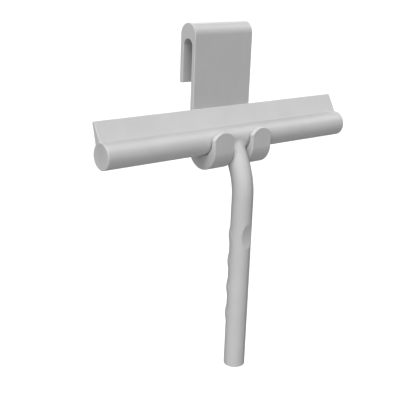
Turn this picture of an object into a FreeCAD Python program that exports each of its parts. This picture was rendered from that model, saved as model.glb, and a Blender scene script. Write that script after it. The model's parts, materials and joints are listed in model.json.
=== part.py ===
import FreeCAD, Part
import math
import os
from typing import NamedTuple, Optional

import Sketcher

# A shower and window squeegee with the holder that it hangs in.
#
# The holder is a silicone-clad steel strip that drops over the top edge of a glass pane and ends in two
# forward-curling hooks.  The squeegee is a round bar with a wiping blade along it and a bent round handle.
# It lies in the hooks with its handle in the gap between them.
#
# Axes: X along the glass edge and the bar, Y through the glass (the user stands at -Y), Z up.
# Origin: on the crown of the glass slot, where the top edge of the glass bears.  Millimetres and degrees.

SIZES = [
    # holder
    ("hanger_width", 60.0, "holder, along the glass edge"),
    ("slot_width", 10.5, "gap that takes the glass"),
    ("strip_thickness", 1.5, "steel strip inside the holder"),
    ("skin_thickness", 1.25, "silicone over the strip, on each face"),
    ("crown_thickness", 12.7, "solid height above the slot"),
    ("back_leg_length", 35.2, "rear leg, below the crown of the slot"),
    ("trough_pad", 0.5, "extra wall behind the trough"),
    ("hook_drop", 84.5, "crown of the slot to the hooks' centre"),
    ("hook_floor", 11.85, "solid height under the trough"),
    ("trough_clearance", 1.9, "trough radius beyond the bar's"),
    ("trough_ramp", 10.0, "height over which the plate thickens to the trough"),
    ("prong_rise", 9.6, "hook tips above the resting bar's centre"),
    ("tip_rise", 5.5, "height of the arched end of a hook, seen from the front"),
    ("neck_clearance", 1.2, "each side of the handle in the gap between the hooks"),
    ("fork_height", 9.5, "top of the gap above the hooks' centre, at the middle of the plate"),
    ("core_pin_diameter", 4.0, "pins that hold the filler blocks to the strip"),
    ("crown_pin_spacing", 36.0, "between the two crown pins"),
    ("cover_edge", 0.7, "rounded edges of the holder's skin"),
    # squeegee head
    ("bar_length", 250.0, "squeegee head and blade"),
    ("bar_diameter", 20.8, "silicone over the head tube"),
    ("rest_gap", 0.3, "air under the resting bar"),
    ("head_tilt", 31.6, "lean of the blade backwards and of the neck forwards"),
    ("blade_reach", 26.4, "bar centre to the wiping edge"),
    ("blade_front", 4.4, "front face of the blade before the bar's centre plane"),
    ("blade_root", 6.9, "blade thickness at the bar"),
    ("blade_tip", 2.4, "blade thickness at the wiping edge"),
    ("blade_fillet", 1.6, "hollow at the root of the blade, in front"),
    ("blade_back_fillet", 2.4, "hollow at the root of the blade, behind"),
    ("bar_edge", 0.7, "rounded edge of the end faces"),
    ("end_skin", 2.0, "silicone over the ends of the core"),
    ("tube_diameter", 14.0, "head tube, outside"),
    ("tube_wall", 1.2, "head tube wall"),
    ("key_thickness", 1.2, "strip that keys the sleeve to the tube"),
    ("key_reach", 13.0, "bar centre to the outer edge of the key strip"),
    ("plug_flange", 1.5, "flange of every tube plug"),
    ("plug_depth", 8.0, "length of a head plug inside the tube"),
    ("nut_length", 16.0, "cross nut, along the tube"),
    ("stud_diameter", 6.0, "threaded stud through the neck"),
    ("stud_setback", 1.0, "stud short of the far side of the cross nut"),
    ("stud_reach", 23.6, "bar centre to the lower end of the stud"),
    ("saddle_start", 10.6, "bar centre to the seat of the handle tube"),
    # handle
    ("grip_diameter", 17.8, "silicone over the handle tube"),
    ("grip_drop", 195.4, "bar centre to the bottom of the grip"),
    ("neck_length", 18.5, "bar centre to the start of the bend"),
    ("bend_radius", 57.0, "centreline of the handle's bend"),
    ("saddle_fillet", 2.2, "hollow where the neck leaves the bar"),
    ("handle_tube_diameter", 12.0, "handle tube, outside"),
    ("handle_tube_wall", 1.5, "handle tube wall"),
    ("handle_plug_depth", 10.0, "length of the bottom plug inside the tube"),
    ("grip_end_skin", 2.0, "silicone under the bottom plug"),
    ("grip_edge", 1.0, "rounded bottom edge of the grip"),
    ("wave_pitch", 23.4, "finger wave spacing"),
    ("wave_height", 1.35, "crest of a finger wave over its hollow"),
    ("first_crest_drop", 77.9, "bar centre down to the uppermost crest"),
    ("thumb_drop", 77.7, "bar centre down to the middle of the thumb dent"),
    ("thumb_depth", 1.5, "thumb dent"),
    ("thumb_length", 21.0, "thumb dent, up and down"),
]
WAVE_CRESTS = 4

doc = FreeCAD.newDocument("squeegee")
sheet = doc.addObject("Spreadsheet::Sheet", "Sheet")
for line, (alias, size, note) in enumerate(SIZES, start=1):
    sheet.set(f"A{line}", alias)
    sheet.set(f"B{line}", str(size))
    sheet.setAlias(f"B{line}", alias)
    sheet.set(f"C{line}", note)
doc.recompute()


def terms(text):
    """Expression text with every size name turned into a reference to its cell."""
    for alias, _, _ in sorted(SIZES, key=lambda size: -len(size[0])):
        text = text.replace(f"<{alias}>", f"Sheet.{alias}")
    return f"({text})"


# Sizes and places worked out from the cells.
WALL = terms("<strip_thickness> + 2 * <skin_thickness>")
SLOT_HALF = terms("<slot_width> / 2")
CROWN_RADIUS = f"({SLOT_HALF} + {WALL})"
CROWN_Z = f"({terms('<crown_thickness>')} - {CROWN_RADIUS})"
TROUGH_RADIUS = terms("<bar_diameter> / 2 + <trough_clearance>")
HOOK_RADIUS = f"({WALL} + {TROUGH_RADIUS} + {terms('<trough_pad> / 2')})"
HOOK_Y = f"(-{SLOT_HALF} - {HOOK_RADIUS})"
HOOK_Z = terms("-<hook_drop>")
TROUGH_FLOOR_Z = f"({HOOK_Z} - {HOOK_RADIUS} + {terms('<hook_floor>')})"
TROUGH_Z = f"({TROUGH_FLOOR_Z} + {TROUGH_RADIUS})"
TROUGH_Y = f"({HOOK_Y} - {HOOK_RADIUS} + {WALL} + {TROUGH_RADIUS})"
GAP_HALF = terms("<grip_diameter> / 2 + <neck_clearance>")
ARM_WIDTH = f"({terms('<hanger_width> / 2')} - {GAP_HALF})"
ARM_X = f"({GAP_HALF} + {ARM_WIDTH} / 2)"
TIP_RADIUS = f"((({ARM_WIDTH} / 2)^2 + {terms('<tip_rise>')}^2) / (2 * {terms('<tip_rise>')}))"
SKIN = terms("<skin_thickness>")
STRIP_INNER = f"({SLOT_HALF} + {SKIN})"
STRIP_OUTER = f"({CROWN_RADIUS} - {SKIN})"
STRIP_HOOK_OUTER = f"({HOOK_RADIUS} - {SKIN})"
STRIP_HOOK_INNER = f"({STRIP_HOOK_OUTER} - {terms('<strip_thickness>')})"

BAR_RADIUS = terms("<bar_diameter> / 2")
BAR_Y = TROUGH_Y
BAR_Z = f"({TROUGH_FLOOR_Z} + {terms('<rest_gap>')} + {BAR_RADIUS})"
TIP_Z = f"({BAR_Z} + {terms('<prong_rise>')})"
CORE_LENGTH = terms("<bar_length> - 2 * <end_skin>")
TUBE_LENGTH = f"({CORE_LENGTH} - {terms('2 * <plug_flange>')})"
TUBE_RADIUS = terms("<tube_diameter> / 2")
BORE_RADIUS = terms("<tube_diameter> / 2 - <tube_wall>")
TILT = terms("<head_tilt>")
ELBOW_Y = f"({BAR_Y} - {terms('<neck_length>')} * sin({TILT}) - {terms('<bend_radius>')} * (1 - cos({TILT})))"
ELBOW_Z = f"({BAR_Z} - {terms('<neck_length>')} * cos({TILT}) - {terms('<bend_radius>')} * sin({TILT}))"
GRIP_RADIUS = terms("<grip_diameter> / 2")
GRIP_BOTTOM = f"({BAR_Z} - {terms('<grip_drop>')} - {ELBOW_Z})"
HANDLE_RADIUS = terms("<handle_tube_diameter> / 2")
HANDLE_BORE = terms("<handle_tube_diameter> / 2 - <handle_tube_wall>")
HANDLE_TUBE_BOTTOM = f"({GRIP_BOTTOM} + {terms('<grip_end_skin> + <plug_flange>')})"


def number(expression):
    """Value of an expression on the sheet."""
    value = sheet.evalExpression(expression)
    return float(getattr(value, "Value", value))


class Bend(NamedTuple):
    """Circular edge of an outline: its centre, and which centre coordinate pins it down."""
    x: str
    y: str
    clockwise: bool = False
    pinned: str = "y"


class Corner(NamedTuple):
    """Corner of an outline, and the bend of the edge that leaves it (straight without one)."""
    x: str
    y: str
    bend: Optional[Bend] = None


def new_body(label):
    """Empty body whose label names its file."""
    body = doc.addObject("PartDesign::Body", label)
    body.Label = label
    return body


def place(body, x="0", y="0", z="0", tilt=None):
    """Binds the body's place to the sheet; a tilt turns it about X."""
    for axis, expression in zip("xyz", (x, y, z)):
        body.setExpression(f"Placement.Base.{axis}", expression)
    if tilt:
        body.Placement.Rotation = FreeCAD.Rotation(FreeCAD.Vector(1, 0, 0), number(tilt))
        body.setExpression("Placement.Rotation.Axis.x", "1")
        body.setExpression("Placement.Rotation.Angle", f"{tilt} * 1 deg")


def new_sketch(body, role, name, offset=None):
    """Sketch on one of the body's own origin planes, moved along the plane's normal by an expression."""
    sketch = body.newObject("Sketcher::SketchObject", name)
    plane = next(item for item in body.Origin.OriginFeatures if item.Role == role)
    sketch.AttachmentSupport = [(plane, "")]
    sketch.MapMode = "FlatFace"
    if offset:
        sketch.setExpression("AttachmentOffset.Base.z", offset)
    return sketch


def bind(sketch, kind, *elements, value):
    """Dimension whose value follows an expression."""
    index = sketch.addConstraint(Sketcher.Constraint(kind, *elements, number(value)))
    sketch.setExpression(f"Constraints[{index}]", value)


def pin_point(sketch, geometry, point, x, y):
    """Holds a point of the sketch at two expressions."""
    bind(sketch, "DistanceX", -1, 1, geometry, point, value=x)
    bind(sketch, "DistanceY", -1, 1, geometry, point, value=y)


def add_edge(sketch, start, end, bend):
    """Adds one edge; returns its index and which of its ends lies on each corner."""
    if bend is None:
        return sketch.addGeometry(Part.LineSegment(start, end)), 1, 2
    centre = FreeCAD.Vector(number(bend.x), number(bend.y), 0)
    first, last = (end, start) if bend.clockwise else (start, end)
    angles = [math.atan2(point.y - centre.y, point.x - centre.x) for point in (first, last)]
    circle = Part.Circle(centre, FreeCAD.Vector(0, 0, 1), (first - centre).Length)
    index = sketch.addGeometry(Part.ArcOfCircle(circle, *angles))
    return (index, 2, 1) if bend.clockwise else (index, 1, 2)


def draw(sketch, corners, closed=True):
    """Draws an outline or an open path through the corners, every corner tied to the sheet."""
    spots = [FreeCAD.Vector(number(corner.x), number(corner.y), 0) for corner in corners]
    count = len(corners) if closed else len(corners) - 1
    edges = []
    for step in range(count):
        corner = corners[step]
        edge = add_edge(sketch, spots[step], spots[(step + 1) % len(corners)], corner.bend)
        edges.append(edge)
    for step, (index, begin, finish) in enumerate(edges):
        corner = corners[step]
        pin_point(sketch, index, begin, corner.x, corner.y)
        if corner.bend is not None:
            kind, value = (("DistanceX", corner.bend.x) if corner.bend.pinned == "x"
                           else ("DistanceY", corner.bend.y))
            bind(sketch, kind, -1, 1, index, 3, value=value)
        if step + 1 < count or closed:
            following, next_begin, _ = edges[(step + 1) % count]
            sketch.addConstraint(Sketcher.Constraint("Coincident", index, finish, following, next_begin))
        else:
            pin_point(sketch, index, finish, corners[-1].x, corners[-1].y)
    return sketch


def draw_circle(sketch, radius, x="0", y="0"):
    """Draws a circle tied to the sheet."""
    spot = FreeCAD.Vector(number(x), number(y), 0)
    index = sketch.addGeometry(Part.Circle(spot, FreeCAD.Vector(0, 0, 1), number(radius)))
    pin_point(sketch, index, 3, x, y)
    bind(sketch, "Radius", index, value=radius)
    return sketch


def extrude(body, sketch, kind, length=None, midplane=True, reverse=False):
    """Pad or Pocket of the sketch; without a length it goes right through, both ways at midplane."""
    feature = body.newObject(f"PartDesign::{kind}", f"{sketch.Name}_{kind.lower()}")
    feature.Profile = sketch
    feature.SideType = "Symmetric" if midplane else "One side"
    feature.Reversed = reverse
    if length is None:
        feature.Type = "ThroughAll"
    else:
        feature.setExpression("Length", length)
    sketch.Visibility = False
    return feature


def cut(body, sketch, length=None, midplane=True, reverse=False):
    """Pocket that must take material away."""
    doc.recompute()
    before = body.Shape.Volume
    feature = extrude(body, sketch, "Pocket", length, midplane, reverse)
    doc.recompute()
    if not body.Shape.Volume < before - 1e-3:
        raise RuntimeError(f"{feature.Name} cuts nothing")
    return feature


def fillet(body, radius, picks):
    """Rounds the edges of the body's last feature that a test picks."""
    doc.recompute()
    base = body.Tip
    names = [f"Edge{n}" for n, edge in enumerate(base.Shape.Edges, start=1) if picks(edge)]
    if not names:
        raise RuntimeError(f"{body.Label}: no edge to round")
    feature = body.newObject("PartDesign::Fillet", f"{body.Label}_round_{base.Name}")
    feature.Base = (base, names)
    feature.setExpression("Radius", radius)
    doc.recompute()
    return feature


def middle(edge):
    """Point half way along an edge."""
    return edge.valueAt((edge.FirstParameter + edge.LastParameter) / 2)


def near(left, right, slack=0.02):
    """Whether two values agree."""
    return abs(left - right) < slack


# ---------------------------------------------------------------- holder

def hooked_profile(sketch, leg_end, crown, slot, rear, plate, trough, front, hooks, tip):
    """Side view of the holder: rear leg, crown, plate and hook in one closed outline."""
    crown_radius, crown_z = crown
    slot_radius, slot_z = slot
    trough_radius, trough_y, trough_z, ramp = trough
    hook_y, hook_z = hooks
    ramp_corner = [Corner(f"-{plate}", f"{trough_z} + {ramp}")] if ramp else []
    corners = [
        Corner(crown_radius, leg_end),
        Corner(crown_radius, crown_z, Bend("0", crown_z)),
        Corner(f"-{plate}", crown_z),
        *ramp_corner,
        Corner(f"{trough_y} + {trough_radius}", trough_z, Bend(trough_y, trough_z, clockwise=True)),
        Corner(f"{trough_y} - {trough_radius}", trough_z),
        Corner(f"{trough_y} - {trough_radius}", tip),
        Corner(front, tip),
        Corner(front, hook_z, Bend(hook_y, hook_z)),
        Corner(f"-{rear}", hook_z),
        Corner(f"-{rear}", slot_z, Bend("0", slot_z, clockwise=True)),
        Corner(slot_radius, slot_z),
        Corner(slot_radius, leg_end),
    ]
    return draw(sketch, corners)


def fork(body, grow):
    """Cuts the gap between the two hooks, wider by grow on each side, and arches the hook tips."""
    half = f"({GAP_HALF} + {grow})"
    top = f"({HOOK_Z} + {terms('<fork_height>')} - {GAP_HALF})"
    below = f"({HOOK_Z} - 2 * {HOOK_RADIUS})"
    gap = new_sketch(body, "XZ_Plane", f"{body.Label}_gap")
    draw(gap, [
        Corner(f"-{half}", below), Corner(half, below),
        Corner(half, top, Bend("0", top)), Corner(f"-{half}", top),
    ])
    cut(body, gap)
    front_gap = new_sketch(body, "XZ_Plane", f"{body.Label}_front_gap", offset=f"-{HOOK_Y}")
    above = f"({TIP_Z} + {HOOK_RADIUS})"
    draw(front_gap, [Corner(f"-{half}", top), Corner(half, top), Corner(half, above),
                     Corner(f"-{half}", above)])
    cut(body, front_gap, midplane=False, reverse=True)
    arm_half = f"({ARM_WIDTH} / 2 - {grow})"
    arch_z = f"({TIP_Z} - {TIP_RADIUS})"
    corner_z = f"({arch_z} + sqrt(({TIP_RADIUS} - {grow})^2 - {arm_half}^2))"
    for side, sign in (("left", "-"), ("right", "")):
        inner, outer = f"({sign}{ARM_X} - {arm_half})", f"({sign}{ARM_X} + {arm_half})"
        tip = new_sketch(body, "XZ_Plane", f"{body.Label}_{side}_tip", offset=f"-{HOOK_Y}")
        draw(tip, [
            Corner(outer, corner_z, Bend(f"{sign}{ARM_X}", arch_z)), Corner(inner, corner_z),
            Corner(f"{inner} - {SKIN}", corner_z), Corner(f"{inner} - {SKIN}", above),
            Corner(f"{outer} + {SKIN}", above), Corner(f"{outer} + {SKIN}", corner_z),
        ])
        cut(body, tip, midplane=False, reverse=True)


def core_pin_circles(sketch):
    """Four circles, seen from above, where pins go through the strip and the filler blocks."""
    radius = terms("<core_pin_diameter> / 2")
    half = terms("<crown_pin_spacing> / 2")
    for sign in ("-", ""):
        draw_circle(sketch, radius, f"{sign}{half}", "0")
        draw_circle(sketch, radius, f"{sign}{ARM_X}", HOOK_Y)
    return sketch


def build_hanger_strip():
    """Steel strip, bent over the glass and under the bar, forked at its lower end."""
    body = new_body("hanger_strip")
    side = new_sketch(body, "YZ_Plane", "strip_side")
    hooked_profile(
        side, leg_end=f"-{terms('<back_leg_length>')} + {SKIN}", crown=(STRIP_OUTER, CROWN_Z),
        slot=(STRIP_INNER, CROWN_Z), rear=STRIP_INNER, plate=STRIP_OUTER,
        trough=(STRIP_HOOK_INNER, HOOK_Y, HOOK_Z, None), front=f"{HOOK_Y} - {STRIP_HOOK_OUTER}",
        hooks=(HOOK_Y, HOOK_Z), tip=f"{TIP_Z} - {SKIN}")
    extrude(body, side, "Pad", f"{terms('<hanger_width>')} - 2 * {SKIN}")
    fork(body, SKIN)
    cut(body, core_pin_circles(new_sketch(body, "XY_Plane", "strip_pin_holes")))
    return body


def build_crown_block():
    """Moulded block that fills the bend of the strip above the glass slot."""
    body = new_body("crown_block")
    side = new_sketch(body, "YZ_Plane", "crown_side")
    draw(side, [
        Corner(f"-{STRIP_INNER}", SKIN), Corner(STRIP_INNER, SKIN),
        Corner(STRIP_INNER, CROWN_Z, Bend("0", CROWN_Z)), Corner(f"-{STRIP_INNER}", CROWN_Z),
    ])
    extrude(body, side, "Pad", f"{terms('<hanger_width>')} - 2 * {SKIN}")
    holes = new_sketch(body, "XY_Plane", "crown_holes")
    for sign in ("-", ""):
        draw_circle(holes, terms("<core_pin_diameter> / 2"), f"{sign}{terms('<crown_pin_spacing> / 2')}")
    cut(body, holes)
    return body


def build_trough_block(side_name, sign):
    """Moulded block in the bottom of one hook; the bar's trough lies above it."""
    body = new_body(f"trough_block_{side_name}")
    top = f"({TROUGH_FLOOR_Z} - {SKIN} - {HOOK_Z})"
    half = f"sqrt({STRIP_HOOK_INNER}^2 - {top}^2)"
    side = new_sketch(body, "YZ_Plane", f"trough_{side_name}_side")
    draw(side, [Corner(f"-{half}", top, Bend("0", "0")), Corner(half, top)])
    extrude(body, side, "Pad", f"{ARM_WIDTH} - 2 * {SKIN}")
    hole = new_sketch(body, "XY_Plane", f"trough_{side_name}_hole")
    cut(body, draw_circle(hole, terms("<core_pin_diameter> / 2")))
    place(body, f"{sign}{ARM_X}", HOOK_Y, HOOK_Z)
    return body


def build_core_pins(label, spots, foot, head):
    """Pair of plain pins, pressed through the strip into the filler blocks."""
    pins = []
    for x, y in spots:
        pin = doc.addObject("Part::Cylinder", f"{label}_pin")
        pin.setExpression("Radius", terms("<core_pin_diameter> / 2"))
        pin.setExpression("Height", f"{head} - {foot}")
        pin.setExpression("Placement.Base.x", x)
        pin.setExpression("Placement.Base.y", y)
        pin.setExpression("Placement.Base.z", foot)
        pins.append(pin)
    group = doc.addObject("Part::Compound", label)
    group.Label = label
    group.Links = pins
    return group


def build_hanger_cover(cores):
    """Silicone skin of the holder, moulded round the strip, the blocks and the pins."""
    body = new_body("hanger_skin_outline")
    side = new_sketch(body, "YZ_Plane", "cover_side")
    slot_z = f"-{SLOT_HALF}"
    hooked_profile(
        side, leg_end=f"-{terms('<back_leg_length>')}", crown=(CROWN_RADIUS, CROWN_Z),
        slot=(SLOT_HALF, slot_z), rear=SLOT_HALF, plate=CROWN_RADIUS,
        trough=(TROUGH_RADIUS, TROUGH_Y, TROUGH_Z, terms("<trough_ramp>")),
        front=f"{HOOK_Y} - {HOOK_RADIUS}", hooks=(HOOK_Y, HOOK_Z), tip=TIP_Z)
    extrude(body, side, "Pad", terms("<hanger_width>"))
    outer = number(terms("<hanger_width> / 2"))
    fillet(body, terms("<cover_edge>"), lambda edge: near(abs(middle(edge).x), outer)
           and near(abs(edge.Vertexes[0].Point.x), outer))
    fork(body, "0")
    cover = doc.addObject("Part::Cut", "hanger_cover")
    cover.Label = "hanger_cover"
    core = doc.addObject("Part::MultiFuse", "hanger_core")
    core.Shapes = cores
    cover.Base = body
    cover.Tool = core
    return cover


# ---------------------------------------------------------------- squeegee head

def head_place(body):
    """Head frame: origin on the bar's axis, +Z up the blade and -Z down the neck."""
    place(body, "0", BAR_Y, BAR_Z, tilt=f"(-{TILT})")
    return body


def build_head_tube():
    """Steel tube through the bar, slotted for the key strip and drilled for the neck stud."""
    body = new_body("head_tube")
    ring = new_sketch(body, "YZ_Plane", "head_tube_ring")
    draw_circle(ring, TUBE_RADIUS)
    draw_circle(ring, BORE_RADIUS)
    extrude(body, ring, "Pad", TUBE_LENGTH)
    slot = new_sketch(body, "YZ_Plane", "head_tube_slot")
    half = terms("<key_thickness> / 2")
    draw(slot, [Corner(f"-{half}", "0"), Corner(half, "0"), Corner(half, TUBE_RADIUS),
                Corner(f"-{half}", TUBE_RADIUS)])
    cut(body, slot)
    hole = new_sketch(body, "XY_Plane", "head_tube_hole")
    cut(body, draw_circle(hole, terms("<stud_diameter> / 2")), midplane=False)
    return head_place(body)


def build_blade_key():
    """Flat strip in the tube's slot that stiffens the blade's root and stops the sleeve turning."""
    body = new_body("blade_key")
    side = new_sketch(body, "YZ_Plane", "blade_key_side")
    half, reach = terms("<key_thickness> / 2"), terms("<key_reach>")
    draw(side, [Corner(f"-{half}", BORE_RADIUS), Corner(half, BORE_RADIUS), Corner(half, reach),
                Corner(f"-{half}", reach)])
    extrude(body, side, "Pad", TUBE_LENGTH)
    return head_place(body)


def plug_outline(sketch, bore, flange_radius, depth, thickness):
    """Half section of a tube plug about its own axis: a stem inside the tube and a flange over its end."""
    return draw(sketch, [
        Corner("0", f"-{depth}"), Corner(bore, f"-{depth}"), Corner(bore, "0"),
        Corner(flange_radius, "0"), Corner(flange_radius, thickness), Corner("0", thickness),
    ])


def revolve(body, sketch, kind="Revolution"):
    """Full turn about the sketch's vertical axis."""
    feature = body.newObject(f"PartDesign::{kind}", f"{sketch.Name}_turned")
    feature.Profile = sketch
    feature.ReferenceAxis = (sketch, ["V_Axis"])
    feature.Angle = 360.0
    sketch.Visibility = False
    return feature


def build_tube_plug(side_name, sign):
    """Plastic plug that closes one end of the head tube."""
    body = new_body(f"tube_plug_{side_name}")
    half = new_sketch(body, "YZ_Plane", f"tube_plug_{side_name}_half")
    plug_outline(half, BORE_RADIUS, TUBE_RADIUS, terms("<plug_depth>"), terms("<plug_flange>"))
    revolve(body, half)
    body.Placement.Rotation = FreeCAD.Rotation(FreeCAD.Vector(0, 1, 0), 90 if sign == "" else -90)
    place(body, f"{sign}{TUBE_LENGTH} / 2", BAR_Y, BAR_Z)
    return body


def build_cross_nut():
    """Round nut inside the head tube, tapped across for the neck stud."""
    body = new_body("cross_nut")
    disc = new_sketch(body, "YZ_Plane", "cross_nut_disc")
    extrude(body, draw_circle(disc, BORE_RADIUS), "Pad", terms("<nut_length>"))
    tapping = new_sketch(body, "XY_Plane", "cross_nut_tapping")
    cut(body, draw_circle(tapping, terms("<stud_diameter> / 2")))
    return head_place(body)


def build_neck_stud():
    """Threaded stud that pulls the handle against the head tube."""
    body = new_body("neck_stud")
    top = f"({BORE_RADIUS} - {terms('<stud_setback>')})"
    end = new_sketch(body, "XY_Plane", "neck_stud_end", offset=top)
    draw_circle(end, terms("<stud_diameter> / 2"))
    extrude(body, end, "Pad", f"{top} + {terms('<stud_reach>')}", midplane=False, reverse=True)
    return head_place(body)


def build_saddle_collar():
    """Spacer between the round head tube and the square-cut end of the handle tube."""
    body = new_body("saddle_collar")
    ring = new_sketch(body, "XY_Plane", "saddle_ring")
    draw_circle(ring, HANDLE_RADIUS)
    draw_circle(ring, terms("<stud_diameter> / 2"))
    extrude(body, ring, "Pad", terms("<saddle_start>"), midplane=False, reverse=True)
    cope = new_sketch(body, "YZ_Plane", "saddle_cope")
    cut(body, draw_circle(cope, TUBE_RADIUS))
    return head_place(body)


def build_wiper_sleeve():
    """Silicone moulding over the head tube, with the wiping blade and the neck that the grip butts on."""
    body = new_body("wiper_sleeve")
    bar = new_sketch(body, "YZ_Plane", "wiper_bar")
    extrude(body, draw_circle(bar, BAR_RADIUS), "Pad", terms("<bar_length>"))
    blade = new_sketch(body, "YZ_Plane", "wiper_blade")
    front, reach = terms("-<blade_front>"), terms("<blade_reach>")
    back = terms("<blade_root> - <blade_front>")
    tip = terms("<blade_tip> - <blade_front>")
    bevel = terms("<blade_tip> / 3")
    root = f"sqrt({BAR_RADIUS}^2 - {back}^2)"
    draw(blade, [
        Corner(front, "0"), Corner(back, "0"), Corner(back, root), Corner(tip, f"{reach} - {bevel}"),
        Corner(f"{tip} - {bevel}", reach), Corner(front, reach),
    ])
    extrude(body, blade, "Pad", terms("<bar_length>"))
    neck = new_sketch(body, "XY_Plane", "wiper_neck")
    extrude(body, draw_circle(neck, GRIP_RADIUS), "Pad", terms("<neck_length>"), midplane=False, reverse=True)
    for face, size in ((front, "<blade_fillet>"), (back, "<blade_back_fillet>")):
        face_y = number(face)
        root_z = math.sqrt(number(BAR_RADIUS) ** 2 - face_y ** 2)
        fillet(body, terms(size), lambda edge: near(middle(edge).y, face_y)
               and near(middle(edge).z, root_z))
    grip_radius = number(GRIP_RADIUS)
    end_z = -number(terms("<neck_length>"))
    fillet(body, terms("<saddle_fillet>"), lambda edge: near(math.hypot(*middle(edge)[:2]), grip_radius)
           and end_z + 1 < middle(edge).z < 0 and edge.Length > grip_radius)
    end_x = number(terms("<bar_length> / 2"))
    fillet(body, terms("<bar_edge>"), lambda edge: near(abs(middle(edge).x), end_x)
           and all(near(abs(vertex.Point.x), end_x) for vertex in edge.Vertexes))
    core = new_sketch(body, "YZ_Plane", "wiper_core")
    cut(body, draw_circle(core, TUBE_RADIUS), CORE_LENGTH)
    key = new_sketch(body, "YZ_Plane", "wiper_key")
    half, key_reach = terms("<key_thickness> / 2"), terms("<key_reach>")
    draw(key, [Corner(f"-{half}", "0"), Corner(half, "0"), Corner(half, key_reach),
               Corner(f"-{half}", key_reach)])
    cut(body, key, TUBE_LENGTH)
    passage = new_sketch(body, "XY_Plane", "wiper_passage")
    cut(body, draw_circle(passage, HANDLE_RADIUS), midplane=False)
    return head_place(body)


# ---------------------------------------------------------------- handle

def handle_place(body):
    """Handle frame: origin on the handle's axis where the bend runs into the straight grip."""
    place(body, "0", ELBOW_Y, ELBOW_Z)
    return body


def handle_path(body, name, foot, neck_top=None):
    """Centreline in the side view: straight up from the foot, round the bend, and on up the neck."""
    radius = terms("<bend_radius>")
    bend_y, bend_z = f"{radius} * (1 - cos({TILT}))", f"{radius} * sin({TILT})"
    corners = [Corner("0", foot), Corner("0", "0", Bend(radius, "0", clockwise=True)), Corner(bend_y, bend_z)]
    if neck_top:
        corners.append(Corner(f"{bend_y} + {neck_top} * sin({TILT})", f"{bend_z} + {neck_top} * cos({TILT})"))
    sketch = new_sketch(body, "YZ_Plane", name)
    return draw(sketch, corners, closed=False)


def sweep(body, profile, path, kind="AdditivePipe"):
    """Pipe of the profile along every edge of the path."""
    feature = body.newObject(f"PartDesign::{kind}", f"{profile.Name}_swept")
    feature.Profile = profile
    feature.Spine = (path, [f"Edge{n}" for n in range(1, path.GeometryCount + 1)])
    profile.Visibility = False
    path.Visibility = False
    doc.recompute()
    return feature


def build_handle_tube():
    """Bent steel tube inside the grip."""
    body = new_body("handle_tube")
    neck_top = terms("<neck_length> - <saddle_start>")
    ring = new_sketch(body, "XY_Plane", "handle_tube_ring", offset=HANDLE_TUBE_BOTTOM)
    draw_circle(ring, HANDLE_RADIUS)
    draw_circle(ring, HANDLE_BORE)
    sweep(body, ring, handle_path(body, "handle_tube_path", HANDLE_TUBE_BOTTOM, neck_top))
    return handle_place(body)


def build_neck_insert():
    """Threaded bush fixed in the upper end of the handle tube."""
    body = new_body("neck_insert")
    ring = new_sketch(body, "XY_Plane", "neck_insert_ring", offset=terms("-<saddle_start>"))
    draw_circle(ring, HANDLE_BORE)
    draw_circle(ring, terms("<stud_diameter> / 2"))
    length = terms("<neck_length> - <saddle_start>")
    extrude(body, ring, "Pad", length, midplane=False, reverse=True)
    return head_place(body)


def build_handle_plug():
    """Plug in the bottom end of the handle tube."""
    body = new_body("handle_plug")
    half = new_sketch(body, "YZ_Plane", "handle_plug_half")
    bore, rim = HANDLE_BORE, HANDLE_RADIUS
    depth, thickness = terms("<handle_plug_depth>"), terms("<plug_flange>")
    draw(half, [
        Corner("0", f"-{thickness}"), Corner(rim, f"-{thickness}"), Corner(rim, "0"),
        Corner(bore, "0"), Corner(bore, depth), Corner("0", depth),
    ])
    revolve(body, half)
    place(body, "0", ELBOW_Y, f"{ELBOW_Z} + {HANDLE_TUBE_BOTTOM}")
    return body


def wave_outline(sketch):
    """Rippled half section whose crests are as wide as the grip and whose hollows lie inside it."""
    pitch, height = terms("<wave_pitch>"), terms("<wave_height>")
    bow = f"((({pitch} / 4)^2 + ({height} / 2)^2) / {height})"
    crest_centre = f"{GRIP_RADIUS} - {bow}"
    hollow_centre = f"{GRIP_RADIUS} - {height} + {bow}"
    between = f"{GRIP_RADIUS} - {height} / 2"
    top_crest = f"({BAR_Z} - {terms('<first_crest_drop>')} - {ELBOW_Z})"
    corners = [Corner("0", f"{top_crest} - {pitch} * {WAVE_CRESTS - 0.75}")]
    for waves_above in reversed(range(WAVE_CRESTS)):
        crest_z = f"({top_crest} - {pitch} * {waves_above})"
        crest = Bend(crest_centre, crest_z, pinned="x")
        hollow = Bend(hollow_centre, f"{crest_z} + {pitch} / 2", clockwise=True, pinned="x")
        corners.append(Corner(between, f"{crest_z} - {pitch} / 4", crest))
        corners.append(Corner(between, f"{crest_z} + {pitch} / 4", hollow if waves_above else None))
    corners.append(Corner("0", f"{top_crest} + {pitch} / 4"))
    return draw(sketch, corners)


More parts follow.
